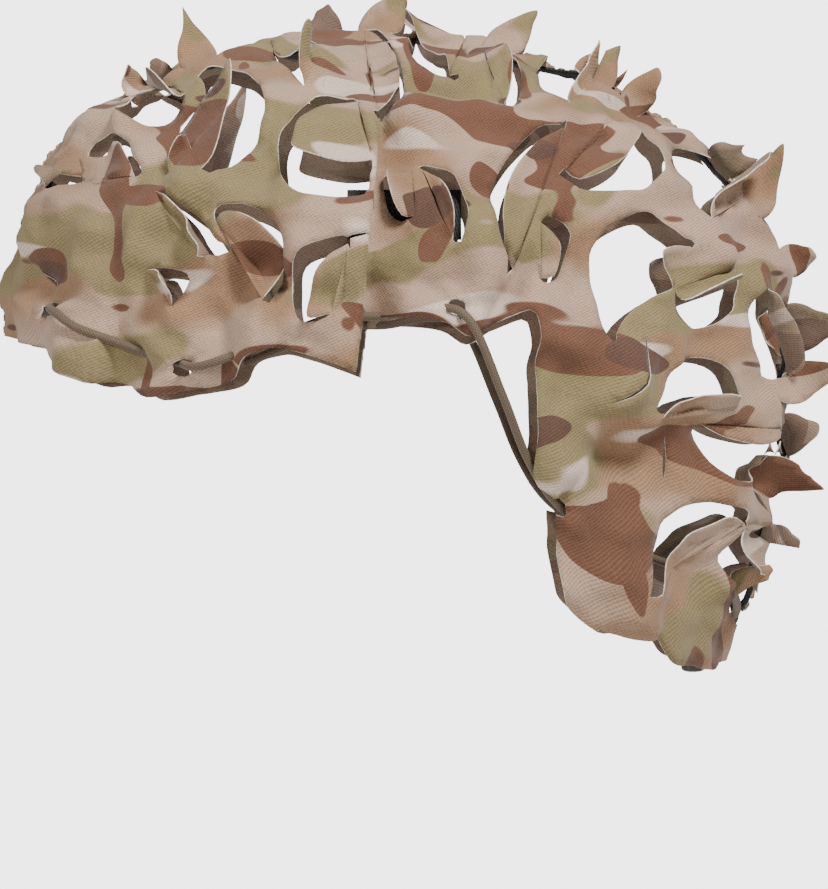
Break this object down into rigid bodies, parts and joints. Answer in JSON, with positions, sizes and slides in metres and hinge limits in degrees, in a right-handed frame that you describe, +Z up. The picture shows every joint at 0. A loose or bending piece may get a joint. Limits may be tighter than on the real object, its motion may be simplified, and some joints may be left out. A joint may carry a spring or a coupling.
{
  "type": "helmet cover",
  "caption": "Leaf-cut camouflage ghillie cover for a high-cut helmet, with a nape drape and an elastic drawcord in the hem closed by a sprung cord lock",
  "frame": {"origin": "middle of the helmet that the cover sits on, level with the helmet's rim over the ears", "axes": "+Z up, +Y towards the back of the wearer's head, +X towards the wearer's left"},
  "size_m": [0.245, 0.3257, 0.2677],
  "materials": {
    "camo_cloth": "matte twill, printed in sand, tan, olive and dark brown",
    "black_webbing": "matte woven tape",
    "hook_tape": "matte hook pile",
    "elastic_cord": "braided sleeve, satin",
    "dark_plastic": "fine moulded texture",
    "spring_steel": "drawn wire"
  },
  "bodies": {
    "cover": {"left_crown_panel": "camo_cloth", "right_crown_panel": "camo_cloth", "crown_tape": "black_webbing", "brow_hook_patch": "hook_tape", "left_hook_patch": "hook_tape", "right_hook_patch": "hook_tape", "rear_hook_patch": "hook_tape", "hem_drawcord": "elastic_cord"},
    "drape": {"left_nape_drape": "camo_cloth", "right_nape_drape": "camo_cloth", "nape_tape": "black_webbing", "left_cord_end": "elastic_cord", "right_cord_end": "elastic_cord", "end_knot": "elastic_cord"},
    "cord_lock": {"cord_lock_barrel": "dark_plastic", "cord_lock_spring": "spring_steel"},
    "plunger": {"cord_lock_plunger": "dark_plastic"}
  },
  "joints": [
    {"name": "drape_swing", "type": "hinge", "parent": "cover", "child": "drape", "pos_m": [0, 0.157, -0.05], "axis": [1, 0, 0], "range_deg": [0, 15], "stiffness_Nm_per_rad": 0.05, "springref_deg": -11.46},
    {"name": "lock_slide", "type": "slide", "parent": "drape", "child": "cord_lock", "axis": [0, 1, 0], "range_m": [-0.011, 0.001]},
    {"name": "plunger_press", "type": "slide", "parent": "cord_lock", "child": "plunger", "axis": [0, 0, 1], "range_m": [0, 0.003], "stiffness_N_per_m": 900, "springref_m": -0.0012, "deforming": ["cord_lock_spring"]}
  ]
}
